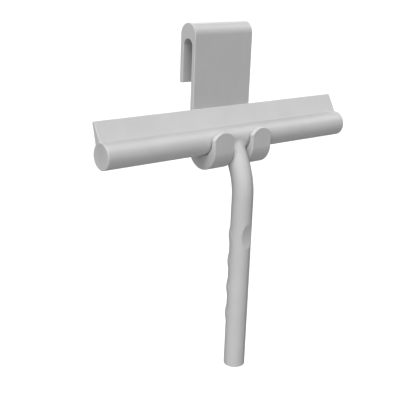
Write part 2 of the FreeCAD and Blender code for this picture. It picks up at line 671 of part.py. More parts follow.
def build_grip_sleeve():
    """Silicone over the handle tube, with finger waves behind and a thumb dent in front."""
    body = new_body("grip_sleeve")
    outer = new_sketch(body, "XY_Plane", "grip_outer", offset=GRIP_BOTTOM)
    sweep(body, draw_circle(outer, GRIP_RADIUS), handle_path(body, "grip_outer_path", GRIP_BOTTOM))
    bottom = number(GRIP_BOTTOM)
    fillet(body, terms("<grip_edge>"), lambda edge: near(middle(edge).z, bottom))
    waves = new_sketch(body, "YZ_Plane", "grip_waves")
    waves.setExpression("AttachmentOffset.Base.x", terms("<wave_height>"))
    revolve(body, wave_outline(waves))
    thumb = new_sketch(body, "YZ_Plane", "grip_thumb")
    depth, half = terms("<thumb_depth>"), terms("<thumb_length> / 2")
    bow = f"({half}^2 + {depth}^2) / (2 * {depth})"
    thumb_z = f"{BAR_Z} - {terms('<thumb_drop>')} - {ELBOW_Z}"
    cut(body, draw_circle(thumb, bow, f"-{GRIP_RADIUS} + {depth} - {bow}", thumb_z))
    core_bottom = f"{HANDLE_TUBE_BOTTOM} - {terms('<plug_flange>')}"
    inner = new_sketch(body, "XY_Plane", "grip_inner", offset=core_bottom)
    inner_path = handle_path(body, "grip_inner_path", core_bottom)
    sweep(body, draw_circle(inner, HANDLE_RADIUS), inner_path, "SubtractivePipe")
    return handle_place(body)


# ---------------------------------------------------------------- the whole object

def build_all():
    """Every sub-part, in the order that the object goes together."""
    strip = build_hanger_strip()
    crown = build_crown_block()
    troughs = [build_trough_block("left", "-"), build_trough_block("right", "")]
    half_spacing = terms("<crown_pin_spacing> / 2")
    reach = f"sqrt({STRIP_OUTER}^2 - {terms('<core_pin_diameter> / 2')}^2)"
    crown_pins = build_core_pins("crown_pins", [(f"-{half_spacing}", "0"), (half_spacing, "0")],
                                 SKIN, f"({CROWN_Z} + {reach})")
    hook_reach = f"sqrt({STRIP_HOOK_OUTER}^2 - {terms('<core_pin_diameter> / 2')}^2)"
    trough_pins = build_core_pins("trough_pins", [(f"-{ARM_X}", HOOK_Y), (ARM_X, HOOK_Y)],
                                  f"({HOOK_Z} - {hook_reach})", f"({TROUGH_FLOOR_Z} - {SKIN})")
    cores = [strip, crown, *troughs, crown_pins, trough_pins]
    return cores + [
        build_hanger_cover(cores),
        build_head_tube(), build_blade_key(),
        build_tube_plug("left", "-"), build_tube_plug("right", ""),
        build_cross_nut(), build_neck_stud(), build_saddle_collar(), build_wiper_sleeve(),
        build_handle_tube(), build_neck_insert(), build_handle_plug(), build_grip_sleeve(),
    ]


def check(parts):
    """Stops the build if any object failed or any sub-part is not a sound solid."""
    for item in doc.Objects:
        bad = [state for state in item.State if state in ("Invalid", "Error")]
        if bad:
            raise RuntimeError(f"{item.Name} is {bad}")
    for part in parts:
        if part.Shape.isNull() or not part.Shape.isValid() or not part.Shape.Solids:
            raise RuntimeError(f"{part.Label} has no sound solid")


def main():
    """Builds the object and writes one file for each sub-part."""
    parts = build_all()
    doc.recompute()
    check(parts)
    os.makedirs("parts", exist_ok=True)
    for part in parts:
        part.Shape.exportStep(os.path.join("parts", f"{part.Label}.step"))
        box = part.Shape.BoundBox
        print(f"{part.Label:22s} solids {len(part.Shape.Solids)} volume {part.Shape.Volume:10.1f}"
              f"  x {box.XMin:7.2f} {box.XMax:7.2f}  y {box.YMin:7.2f} {box.YMax:7.2f}"
              f"  z {box.ZMin:7.2f} {box.ZMax:7.2f}")


main()
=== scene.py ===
import json
import logging
import math
from dataclasses import dataclass
from enum import Enum
from typing import Iterable, Optional, Sequence

import bmesh
import bpy
from mathutils import Matrix, Vector
from mathutils.geometry import delaunay_2d_cdt


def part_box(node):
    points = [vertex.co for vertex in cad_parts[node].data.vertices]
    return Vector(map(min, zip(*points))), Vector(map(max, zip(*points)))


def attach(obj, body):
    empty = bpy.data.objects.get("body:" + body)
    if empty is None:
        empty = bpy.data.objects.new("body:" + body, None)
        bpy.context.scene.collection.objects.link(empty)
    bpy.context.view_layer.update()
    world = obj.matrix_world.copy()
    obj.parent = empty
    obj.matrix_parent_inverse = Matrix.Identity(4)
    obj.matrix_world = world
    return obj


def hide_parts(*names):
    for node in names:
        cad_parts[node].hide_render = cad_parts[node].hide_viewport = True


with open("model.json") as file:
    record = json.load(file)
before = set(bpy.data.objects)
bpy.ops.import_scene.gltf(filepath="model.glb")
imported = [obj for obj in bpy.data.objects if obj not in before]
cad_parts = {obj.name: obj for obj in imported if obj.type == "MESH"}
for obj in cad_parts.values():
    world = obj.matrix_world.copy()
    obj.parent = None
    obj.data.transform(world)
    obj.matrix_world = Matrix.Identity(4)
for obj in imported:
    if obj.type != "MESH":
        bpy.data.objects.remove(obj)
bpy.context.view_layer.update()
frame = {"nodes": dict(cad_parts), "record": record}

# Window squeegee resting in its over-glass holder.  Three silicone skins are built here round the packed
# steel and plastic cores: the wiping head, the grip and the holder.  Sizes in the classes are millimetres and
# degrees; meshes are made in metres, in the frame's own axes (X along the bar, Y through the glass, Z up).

LOG = logging.getLogger("squeegee")
MM = 0.001
TOLERANCE = 1e-6
ROUNDING = 1e-9
# Mesh attribute that tells where painted shade darkens the crease at the blade's root.
PAINTED_CREASE_SHADE = "crease"
Colour = Sequence[float] | bpy.types.NodeSocket


class Slot(Enum):
    """The record's material slots."""

    SILICONE = "silicone"
    STEEL = "core_steel"
    PLASTIC = "core_plastic"
    BRASS = "core_brass"


class Body(Enum):
    """The bodies that the lift-off joint separates."""

    HANGER = "hanger"
    SQUEEGEE = "squeegee"


# ---------------------------------------------------------------- finishes


class Shader:
    """A node material under construction."""

    def __init__(self, name: str) -> None:
        """Starts an empty material with a Principled shader.

        Args:
            name: name of the material.
        """
        self.material = bpy.data.materials.new(name)
        self.material.use_nodes = True
        self.tree = self.material.node_tree
        self.tree.nodes.clear()
        self.output = self.tree.nodes.new("ShaderNodeOutputMaterial")
        self.surface = self.tree.nodes.new("ShaderNodeBsdfPrincipled")
        self.link(self.surface.outputs["BSDF"], self.output.inputs["Surface"])
        self.place = self.tree.nodes.new("ShaderNodeTexCoord").outputs["Object"]

    def link(self, source: bpy.types.NodeSocket, target: bpy.types.NodeSocket) -> None:
        """Joins two sockets."""
        self.tree.links.new(source, target)

    def stretched(self, scale: Sequence[float]) -> bpy.types.NodeSocket:
        """Object coordinates stretched for a pattern with a direction.

        Args:
            scale: factor on each axis.

        Returns:
            The stretched coordinates.
        """
        mapping = self.tree.nodes.new("ShaderNodeMapping")
        mapping.inputs["Scale"].default_value = scale
        self.link(self.place, mapping.inputs["Vector"])
        return mapping.outputs["Vector"]

    def noise(self, size: float, detail: float = 2.0,
              place: Optional[bpy.types.NodeSocket] = None) -> bpy.types.NodeSocket:
        """Noise whose lumps are about as large as a size.

        Args:
            size: lump size in metres.
            detail: octaves of finer noise.
            place: coordinates to read, the object's own by default.

        Returns:
            The noise value, about 0.5 on average.
        """
        node = self.tree.nodes.new("ShaderNodeTexNoise")
        node.inputs["Scale"].default_value = 1.0 / size
        node.inputs["Detail"].default_value = detail
        self.link(place or self.place, node.inputs["Vector"])
        return node.outputs["Fac"]

    def mapped(self, value: bpy.types.NodeSocket, low: float, high: float,
               edges: Sequence[float] = (0.3, 0.7)) -> bpy.types.NodeSocket:
        """Rescales a value.

        Args:
            value: the value, which mostly lies between the edges.
            low: result at the first edge.
            high: result at the second edge.
            edges: the two ends of the incoming range.

        Returns:
            The rescaled value.
        """
        node = self.tree.nodes.new("ShaderNodeMapRange")
        node.inputs["From Min"].default_value, node.inputs["From Max"].default_value = edges
        node.inputs["To Min"].default_value, node.inputs["To Max"].default_value = low, high
        self.link(value, node.inputs["Value"])
        return node.outputs["Result"]

    def blend(self, share: bpy.types.NodeSocket, first: Colour, second: Colour,
              kind: str = "MIX") -> bpy.types.NodeSocket:
        """Mixes two colours.

        Args:
            share: 0 for the first colour, 1 for the mixture with the second.
            first: linear red, green and blue, or a socket that gives them.
            second: the same for the second colour.
            kind: the Mix node's blend type.

        Returns:
            The mixed colour.
        """
        node = self.tree.nodes.new("ShaderNodeMix")
        node.data_type = "RGBA"
        node.blend_type = kind
        inputs = [socket for socket in node.inputs if socket.type == "RGBA"]
        for socket, colour in zip(inputs, (first, second)):
            if isinstance(colour, bpy.types.NodeSocket):
                self.link(colour, socket)
            else:
                socket.default_value = (*colour, 1.0)
        self.link(share, node.inputs["Factor"])
        return next(socket for socket in node.outputs if socket.type == "RGBA")

    def attribute(self, name: str) -> bpy.types.NodeSocket:
        """Reads a number that a piece's mesh stores.

        Args:
            name: name that it is stored under.

        Returns:
            The number, 0 on a mesh that stores none.
        """
        node = self.tree.nodes.new("ShaderNodeAttribute")
        node.attribute_name = name
        return node.outputs["Fac"]

    def bump(self, heights: Iterable[tuple[bpy.types.NodeSocket, float]]) -> None:
        """Stacks bump layers on the shader's normal.

        Args:
            heights: each layer's height value, and its depth in metres.
        """
        last = None
        for height, depth in heights:
            node = self.tree.nodes.new("ShaderNodeBump")
            node.inputs["Distance"].default_value = depth
            self.link(height, node.inputs["Height"])
            if last is not None:
                self.link(last, node.inputs["Normal"])
            last = node.outputs["Normal"]
        self.link(last, self.surface.inputs["Normal"])


@dataclass(frozen=True)
class Silicone:
    """Matte moulded silicone: soft light grey with a fine satin grain and a faint bloom, and painted shade in
    the crease at the blade's root.
    """

    name: str = "silicone_light_grey"
    deep: tuple[float, float, float] = (0.505, 0.505, 0.505)
    bloom: tuple[float, float, float] = (0.530, 0.530, 0.530)
    cloud_size: float = 0.018
    grain_size: float = 0.00042
    grain_depth: float = 0.00001
    ripple_size: float = 0.006
    ripple_depth: float = 0.000006
    roughness: tuple[float, float] = (0.37, 0.43)
    refraction: float = 1.42
    specular: float = 0.5
    # Colour factor of the painted shade in the crease at the blade's root.
    crease_shade: float = 0.85

    def build(self) -> bpy.types.Material:
        """Makes the material.

        Returns:
            The new material.
        """
        shader = Shader(self.name)
        cloud = shader.noise(self.cloud_size, 3.0)
        grain = shader.noise(self.grain_size, 2.0)
        ripple = shader.noise(self.ripple_size, 1.0)
        skin = shader.blend(shader.mapped(cloud, 0.0, 1.0), self.deep, self.bloom)
        # Painted shade: the skin's colour is darkened along the crease at the blade's root, as far as the
        # mesh's attribute says.
        painted_shade_colour = (self.crease_shade,) * 3
        shader.link(shader.blend(shader.attribute(PAINTED_CREASE_SHADE), skin, painted_shade_colour, "MULTIPLY"),
                    shader.surface.inputs["Base Color"])
        shader.link(shader.mapped(grain, *self.roughness), shader.surface.inputs["Roughness"])
        shader.surface.inputs["IOR"].default_value = self.refraction
        shader.surface.inputs["Specular IOR Level"].default_value = self.specular
        shader.bump([(ripple, self.ripple_depth), (grain, self.grain_depth)])
        return shader.material


@dataclass(frozen=True)
class Steel:
    """Drawn stainless steel with fine lines along the bar."""

    name: str = "drawn_steel"
    colour: tuple[float, float, float] = (0.60, 0.60, 0.61)
    shadow: tuple[float, float, float] = (0.48, 0.48, 0.49)
    line_size: float = 0.0003
    line_depth: float = 0.000008
    stretch: tuple[float, float, float] = (0.02, 1.0, 1.0)
    roughness: tuple[float, float] = (0.28, 0.42)

    def build(self) -> bpy.types.Material:
        """Makes the material.

        Returns:
            The new material.
        """
        shader = Shader(self.name)
        lines = shader.noise(self.line_size, 3.0, shader.stretched(self.stretch))
        shader.link(shader.blend(shader.mapped(lines, 0.0, 1.0), self.shadow, self.colour),
                    shader.surface.inputs["Base Color"])
        shader.surface.inputs["Metallic"].default_value = 1.0
        shader.link(shader.mapped(lines, *self.roughness), shader.surface.inputs["Roughness"])
        shader.bump([(lines, self.line_depth)])
        return shader.material


@dataclass(frozen=True)
class Nylon:
    """Dark moulded nylon with a spark-eroded grain."""

    name: str = "moulded_nylon"
    colour: tuple[float, float, float] = (0.030, 0.031, 0.034)
    worn: tuple[float, float, float] = (0.055, 0.056, 0.060)
    grain_size: float = 0.0006
    grain_depth: float = 0.00003
    roughness: tuple[float, float] = (0.45, 0.6)

    def build(self) -> bpy.types.Material:
        """Makes the material.

        Returns:
            The new material.
        """
        shader = Shader(self.name)
        grain = shader.noise(self.grain_size, 2.0)
        shader.link(shader.blend(shader.mapped(grain, 0.0, 1.0), self.colour, self.worn),
                    shader.surface.inputs["Base Color"])
        shader.link(shader.mapped(grain, *self.roughness), shader.surface.inputs["Roughness"])
        shader.bump([(grain, self.grain_depth)])
        return shader.material


@dataclass(frozen=True)
class Brass:
    """Turned brass with fine tool rings."""

    name: str = "turned_brass"
    colour: tuple[float, float, float] = (0.62, 0.44, 0.17)
    dull: tuple[float, float, float] = (0.46, 0.32, 0.13)
    ring_size: float = 0.0004
    ring_depth: float = 0.00001
    stretch: tuple[float, float, float] = (1.0, 0.1, 0.1)
    roughness: tuple[float, float] = (0.22, 0.38)

    def build(self) -> bpy.types.Material:
        """Makes the material.

        Returns:
            The new material.
        """
        shader = Shader(self.name)
        rings = shader.noise(self.ring_size, 2.0, shader.stretched(self.stretch))
        shader.link(shader.blend(shader.mapped(rings, 0.0, 1.0), self.dull, self.colour),
                    shader.surface.inputs["Base Color"])
        shader.surface.inputs["Metallic"].default_value = 1.0
        shader.link(shader.mapped(rings, *self.roughness), shader.surface.inputs["Roughness"])
        shader.bump([(rings, self.ring_depth)])
        return shader.material


# ---------------------------------------------------------------- shared mesh work


@dataclass
class Trace:
    """Run of points in a plane, each with the outward normal of the outline there."""

    points: list[Vector]
    normals: list[Vector]

    def __add__(self, other: "Trace") -> "Trace":
        """Joins two runs and drops the point that they share.

        Args:
            other: the run that follows.

        Returns:
            The joined run.
        """
        same = (self.points[-1] - other.points[0]).length < TOLERANCE
        first = 1 if same else 0
        return Trace(self.points + other.points[first:], self.normals + other.normals[first:])

    def closed(self) -> "Trace":
        """Drops the last point where it repeats the first.

        Returns:
            The run as a closed outline.
        """
        if (self.points[-1] - self.points[0]).length < TOLERANCE:
            return Trace(self.points[:-1], self.normals[:-1])
        return self


def steps(start: float, end: float, step: float) -> list[float]:
    """Spaces values evenly.

    Args:
        start: first value.
        end: last value.
        step: most that two neighbours may be apart.

    Returns:
        The values, both ends included.
    """
    count = max(1, math.ceil(abs(end - start) / step - ROUNDING))
    return [start + (end - start) * index / count for index in range(count + 1)]


def arc(centre: Vector, radius: float, start: float, end: float, step: float = 4.0,
        hollow: bool = False) -> Trace:
    """Circular run of an outline.

    Args:
        centre: centre of the arc.
        radius: radius of the arc.
        start: first angle in degrees, from the first axis towards the second.
        end: last angle in degrees.
        step: largest angle between points.
        hollow: whether the outline bends inwards here, so that its normals point to the centre.

    Returns:
        The run of points.
    """
    rays = [Vector((math.cos(math.radians(a)), math.sin(math.radians(a)))) for a in steps(start, end, step)]
    sign = -1.0 if hollow else 1.0
    return Trace([centre + ray * radius for ray in rays], [ray * sign for ray in rays])


def straight(start: Vector, end: Vector, step: float) -> Trace:
    """Straight run of an outline that is walked with its outside on the right.

    Args:
        start: first point.
        end: last point.
        step: largest distance between points.

    Returns:
        The run of points.
    """
    along = (end - start).normalized()
    normal = Vector((along.y, -along.x))
    points = [start.lerp(end, share) for share in steps(0.0, 1.0, step / (end - start).length)]
    return Trace(points, [normal.copy() for _ in points])


def angle_of(ray: Vector) -> float:
    """Angle of a plane vector in degrees, from 0 to 360."""
    return math.degrees(math.atan2(ray.y, ray.x)) % 360.0


def evaluated_mesh(item: bpy.types.Object, name: str) -> bpy.types.Mesh:
    """Plain mesh of an object with its modifiers done.

    Args:
        item: object in the scene.
        name: name of the new mesh.

    Returns:
        The new mesh.
    """
    bpy.context.view_layer.update()
    graph = bpy.context.evaluated_depsgraph_get()
    mesh = bpy.data.meshes.new_from_object(item.evaluated_get(graph), preserve_all_data_layers=True,
                                           depsgraph=graph)
    mesh.name = name
    return mesh


def linked(name: str, mesh: bpy.types.Mesh) -> bpy.types.Object:
    """Puts a mesh in the scene.

    Args:
        name: name of the object.
        mesh: its mesh.

    Returns:
        The new object.
    """
    item = bpy.data.objects.new(name, mesh)
    bpy.context.scene.collection.objects.link(item)
    return item


def prism(name: str, outline: Sequence[Vector], axis: int, low: float, high: float) -> bpy.types.Object:
    """Solid with one outline all along an axis.

    Args:
        name: name of the object.
        outline: corners in the plane of the other two axes, in X, Y, Z order.
        axis: 0, 1 or 2 for X, Y or Z.
        low: start along the axis.
        high: end along the axis.

    Returns:
        The new object, its mesh in metres.
    """
    def spot(corner: Vector, depth: float) -> Vector:
        """Corner at a depth along the axis, in metres."""
        return Vector((*corner[:axis], depth, *corner[axis:])) * MM

    count = len(outline)
    spots = [spot(corner, depth) for depth in (low, high) for corner in outline]
    faces = [list(range(count)), list(range(count, 2 * count))]
    faces += [[i, (i + 1) % count, (i + 1) % count + count, i + count] for i in range(count)]
    mesh = bpy.data.meshes.new(name)
    mesh.from_pydata(spots, [], faces)
    point_outwards(mesh)
    return linked(name, mesh)


def point_outwards(mesh: bpy.types.Mesh) -> None:
    """Turns every face of a closed mesh outwards.

    Args:
        mesh: the mesh to change.
    """
    work = bmesh.new()
    work.from_mesh(mesh)
    bmesh.ops.recalc_face_normals(work, faces=work.faces)
    work.to_mesh(mesh)
    work.free()


def fit_out(item: bpy.types.Object, body: Body, nodes: Sequence[str],
            material: bpy.types.Material) -> None:
    """Gives a finished piece its material and its body, and hides the CAD nodes that it stands for.

    Args:
        item: the finished piece.
        body: body that carries it.
        nodes: CAD nodes that it replaces.
        material: the finish.
    """
    item.data.materials.clear()
    item.data.materials.append(material)
    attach(item, body.value)
    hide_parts(*nodes)
    LOG.info("%s: %d vertices, %d faces", item.name, len(item.data.vertices), len(item.data.polygons))


def encloses(loop: Sequence[Vector], spot: Vector) -> bool:
    """Tells whether a closed plane loop goes round a spot.

    Args:
        loop: corners of the loop.
        spot: the spot in the same plane.

    Returns:
        True inside the loop.
    """
    crossings = 0
    for a, b in zip(loop, [*loop[1:], loop[0]]):
        if (a.y > spot.y) != (b.y > spot.y):
            crossings += spot.x < a.x + (b.x - a.x) * (spot.y - a.y) / (b.y - a.y)
    return crossings % 2 == 1


class Net:
    """Mesh under construction, with a normal for every corner of every face."""

    def __init__(self) -> None:
        """Starts with nothing."""
        self.spots: list[Vector] = []
        self.normals: list[Vector] = []
        self.painted_crease_shades: list[float] = []
        self.faces: list[list[int]] = []
        self.flats: list[Optional[Vector]] = []

    def add(self, spot: Sequence[float], normal: Sequence[float], crease: float = 0.0) -> int:
        """Adds a vertex.

        Args:
            spot: its place in millimetres.
            normal: the surface normal there.
            crease: its share of the painted shade in the crease, from 0 to 1.

        Returns:
            The vertex's number.
        """
        self.spots.append(Vector(spot))
        self.normals.append(Vector(normal))
        self.painted_crease_shades.append(crease)
        return len(self.spots) - 1

    def face(self, corners: list[int], flat: Optional[Vector] = None) -> None:
        """Adds a face, turned to agree with its normals.

        Args:
            corners: vertex numbers in order.
            flat: one normal for the whole face, in place of its vertices' own.
        """
        facing = Vector((0.0, 0.0, 0.0))
        hub = self.spots[corners[0]]
        for a, b in zip(corners[1:], corners[2:]):
            facing += (self.spots[a] - hub).cross(self.spots[b] - hub)
        wanted = flat or sum((self.normals[c] for c in corners), Vector((0.0, 0.0, 0.0)))
        self.faces.append(corners if facing.dot(wanted) > 0 else corners[::-1])
        self.flats.append(flat)

    def to_object(self, name: str, place: Matrix) -> bpy.types.Object:
        """Makes the object.

        Args:
            name: name of the object.
            place: where the net's millimetre frame lies, in metres.

        Returns:
            The object, with its place in its mesh.
        """
        used = sorted({corner for face in self.faces for corner in face})
        new = {old: number for number, old in enumerate(used)}
        turn = place.to_3x3()
        mesh = bpy.data.meshes.new(name)
        mesh.from_pydata([place @ (self.spots[i] * MM) for i in used], [],
                         [[new[corner] for corner in face] for face in self.faces])
        mesh.shade_smooth()
        mesh.normals_split_custom_set([
            (turn @ (flat or self.normals[corner])).normalized()
            for face, flat in zip(self.faces, self.flats) for corner in face])
        # Each vertex's share of the painted shade in the crease, for the silicone material to darken.
        crease = mesh.attributes.new(PAINTED_CREASE_SHADE, "FLOAT", "POINT")
        crease.data.foreach_set("value", [self.painted_crease_shades[i] for i in used])
        return linked(name, mesh)


def bar_centre() -> Vector:
    """Finds the bar from one of its end plugs.

    Returns:
        Middle of the bar's axis, in metres.
    """
    low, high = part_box("tube_plug_left")
    centre = (low + high) / 2
    centre.x = 0.0
    return centre


# ---------------------------------------------------------------- the wiping head


@dataclass
class WiperHead:
    """Round silicone bar with a leaning blade along it and a short neck for the grip.

    It is built in its own frame, with the blade up and the neck down, and tilted into place.
    """

    bar_diameter: float = 20.8
    tilt: float = 31.6
    blade_reach: float = 26.4
    blade_front: float = 4.4
    blade_root: float = 6.9
    blade_tip: float = 2.4
    front_hollow: float = 0.8
    # Width of the band of painted shade on the bar in front of the blade's root.
    painted_shade_width: float = 7.5
    on_bar: float = 0.1
    back_hollow: float = 2.4
    tip_front_round: float = 0.75
    tip_back_round: float = 1.3
    end_round: float = 0.7
    neck_radius: float = 8.9
    neck_length: float = 18.5
    saddle_side: float = 2.2
    saddle_front: float = 8.0
    saddle_half_length: float = 14.0
    saddle_half_angle: float = 75.0
    arc_step: float = 5.0
    hollow_step: float = 8.0
    front_tip_step: float = 15.0
    back_tip_step: float = 12.0
    blade_step: float = 2.0
    tip_step: float = 1.0
    end_step: float = 15.0
    station_step: float = 5.0
    saddle_step: float = 1.0
    saddle_rows: int = 10
    saddle_margin: float = 0.5
    neck_sides: int = 96

    def __post_init__(self) -> None:
        """Reads the bar's place and length from the frame."""
        low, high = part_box("wiper_sleeve")
        self.half_length = (high.x - low.x) / 2 / MM
        self.centre = bar_centre()
        self.radius = self.bar_diameter / 2

    def outline(self) -> tuple[Trace, range]:
        """Section of bar and blade in the head's own frame, walked with its outside on the right.

        Returns:
            The closed section, and the indices of the bar's underside that the neck's saddle lies in.
        """
        bar = self.radius
        origin = Vector((0.0, 0.0))
        front = Vector((-self.blade_front, 0.0))
        hollow = self.front_hollow
        front_centre = Vector((front.x - hollow, math.sqrt((bar + hollow) ** 2 - (front.x - hollow) ** 2)))
        root = Vector((self.blade_root - self.blade_front, 0.0))
        root.y = math.sqrt(bar ** 2 - root.x ** 2)
        tip = Vector((self.blade_tip - self.blade_front, self.blade_reach))
        up = (tip - root).normalized()
        normal = Vector((up.y, -up.x))
        away = self.back_hollow + root.dot(normal)
        back_centre = normal * away + up * math.sqrt((bar + self.back_hollow) ** 2 - away ** 2)
        tip_round = self.tip_back_round
        run = (self.blade_reach - tip_round - root.y + normal.y * tip_round) / up.y
        tip_centre = root + up * run - normal * tip_round
        under = (270.0 - self.saddle_half_angle, 270.0 + self.saddle_half_angle)

        begin = angle_of(front_centre)
        first = arc(origin, bar, begin, under[0], self.arc_step)
        saddle = arc(origin, bar, *under, self.arc_step)
        last = arc(origin, bar, under[1], angle_of(back_centre) + 360.0, self.arc_step)
        back_root = arc(back_centre, self.back_hollow, angle_of(-back_centre), 180.0 + angle_of(normal),
                        self.hollow_step, hollow=True)
        back_tip = arc(tip_centre, tip_round, angle_of(normal), 90.0, self.back_tip_step)
        front_tip_centre = Vector((front.x + self.tip_front_round, self.blade_reach - self.tip_front_round))
        front_tip = arc(front_tip_centre, self.tip_front_round, 90.0, 180.0, self.front_tip_step)
        front_root = arc(front_centre, hollow, 360.0, angle_of(-front_centre), self.hollow_step, hollow=True)
        section = first + saddle + last + back_root
        section += straight(back_root.points[-1], back_tip.points[0], self.blade_step) + back_tip
        section += straight(back_tip.points[-1], front_tip.points[0], self.tip_step) + front_tip
        section += straight(front_tip.points[-1], front_root.points[0], self.blade_step) + front_root
        start = len(first.points) - 1
        return section.closed(), range(start, start + len(saddle.points))

    def crease(self, point: Vector) -> float:
        """Tells how much painted shade a point of the section gets in the crease in front of the blade.

        Args:
            point: point of the section.

        Returns:
            1 on the bar near the blade's root, fading to 0 over the crease's width and 0 elsewhere.
        """
        if point.x > 0.0 or point.length > self.radius + self.on_bar:
            return 0.0
        root = Vector((-self.blade_front, math.sqrt(self.radius ** 2 - self.blade_front ** 2)))
        share = 2.0 * (1.0 - (point - root).length / self.painted_shade_width)
        return min(1.0, max(0.0, share))

    def stations(self) -> list[tuple[float, float, float]]:
        """Places along the bar where the section repeats.

        Returns:
            For each, its X, how far the section shrinks, and the lean of its normals towards the end.
        """
        flat = self.half_length - self.end_round
        right = []
        for lean in steps(0.0, 90.0, self.end_step)[1:]:
            x = flat + self.end_round * math.sin(math.radians(lean))
            right.append((x, self.end_round * (1 - math.cos(math.radians(lean))), lean))
        left = [(-x, inset, -lean) for x, inset, lean in reversed(right)]
        half = self.saddle_half_length
        body = steps(-flat, -half, self.station_step)[:-1] + steps(-half, half, self.saddle_step)
        body += steps(half, flat, self.station_step)[1:]
        return left + [(x, 0.0, 0.0) for x in body] + right

    def build(self) -> bpy.types.Object:
        """Makes the skin's mesh in place.

        Returns:
            The skin of bar, blade and neck.
        """
        section, under = self.outline()
        stations = self.stations()
        net = Net()
        grid = []
        for x, inset, lean in stations:
            tilt = math.radians(lean)
            row = []
            for point, normal in zip(section.points, section.normals):
                spot = point - normal * inset
                facing = normal * math.cos(tilt)
                # Each point also carries its share of the painted shade in the crease.
                row.append(net.add((x, spot.x, spot.y), (math.sin(tilt), facing.x, facing.y),
                                   self.crease(point)))
            grid.append(row)
        half = self.saddle_half_length
        inside = [i for i, (x, _, _) in enumerate(stations) if abs(x) <= half + TOLERANCE]
        around = len(section.points)
        for i in range(len(stations) - 1):
            for j in range(around):
                if inside[0] <= i < inside[-1] and under.start <= j < under.stop - 1:
                    continue
                k = (j + 1) % around
                net.face([grid[i][j], grid[i][k], grid[i + 1][k], grid[i + 1][j]])
        net.face(list(grid[0]))
        net.face(list(grid[-1]))
        self.add_saddle(net, section, stations, grid, inside, under)
        return net.to_object("wiper_skin", Matrix.Translation(self.centre)
                             @ Matrix.Rotation(-math.radians(self.tilt), 4, "X"))

    def add_saddle(self, net: Net, section: Trace, stations: list[tuple[float, float, float]],
                   grid: list[list[int]], inside: list[int], under: range) -> None:
        """Cuts the neck's hole in the bar and blends the neck in, softly in front and tightly at the sides.

        Args:
            net: the mesh under construction.
            section: not used.
            stations: not used.
            grid: vertex numbers by station and section point.
            inside: stations that the saddle's patch covers.
            under: section points that the patch covers.
        """
        rings = self.saddle_rings(net)
        loop = [Vector((net.spots[n].x, self.unrolled(net.spots[n].y, net.spots[n].z))) for n in rings[0]]
        spots, numbers = [], []
        for i in inside:
            for j in under:
                spot = net.spots[grid[i][j]]
                flat = Vector((spot.x, self.unrolled(spot.y, spot.z)))
                rim = i in (inside[0], inside[-1]) or j in (under.start, under.stop - 1)
                away = min((flat - corner).length for corner in loop)
                if rim or (away > self.saddle_margin and not encloses(loop, flat)):
                    spots.append(flat)
                    numbers.append(grid[i][j])
        first = len(spots)
        edges = [(first + k, first + (k + 1) % self.neck_sides) for k in range(self.neck_sides)]
        spots += loop
        numbers += rings[0]
        made = delaunay_2d_cdt(spots, edges, [], 0, TOLERANCE)
        for corners in made[2]:
            ids = [made[3][corner][0] for corner in corners]
            if not encloses(loop, sum((spots[i] for i in ids), Vector((0.0, 0.0))) / len(ids)):
                net.face([numbers[i] for i in ids])
        for upper, lower in zip(rings, rings[1:]):
            for k in range(self.neck_sides):
                n = (k + 1) % self.neck_sides
                net.face([upper[k], upper[n], lower[n], lower[k]])
        net.face(list(rings[-1]), flat=Vector((0.0, 0.0, -1.0)))

    def unrolled(self, y: float, z: float) -> float:
        """Length along the bar's underside from its lowest line."""
        return self.radius * math.atan2(y, -z)

    def saddle_rings(self, net: Net) -> list[list[int]]:
        """Rings of the neck, from its line on the bar down a hollow to its end.

        Args:
            net: the mesh that the rings go in.

        Returns:
            Vertex numbers of each ring.
        """
        turns = [math.tau * k / self.neck_sides for k in range(self.neck_sides)]
        hollows = []
        for turn in turns:
            ball = self.saddle_side + (self.saddle_front - self.saddle_side) * math.sin(turn) ** 2
            deep, wide = self.radius + ball, self.neck_radius + ball
            centre = Vector((wide * math.cos(turn), wide * math.sin(turn), 0.0))
            centre.z = -math.sqrt(deep ** 2 - centre.y ** 2)
            to_bar = -Vector((0.0, centre.y, centre.z)) / deep
            hollows.append((ball, centre, to_bar, -Vector((math.cos(turn), math.sin(turn), 0.0))))
        rings = []
        for share in steps(0.0, 1.0, 1 / self.saddle_rows):
            ring = []
            for ball, centre, to_bar, to_neck in hollows:
                ray = to_bar.slerp(to_neck, share)
                ring.append(net.add(centre + ray * ball, -ray))
            rings.append(ring)
        for share in steps(0.0, 1.0, 1 / self.saddle_rows)[1:]:
            ring = []
            for _, centre, _, to_neck in hollows:
                drop = centre.z + (-self.neck_length - centre.z) * share
                ring.append(net.add(Vector((0.0, 0.0, drop)) - to_neck * self.neck_radius, -to_neck))
            rings.append(ring)
        return rings


# ---------------------------------------------------------------- the grip


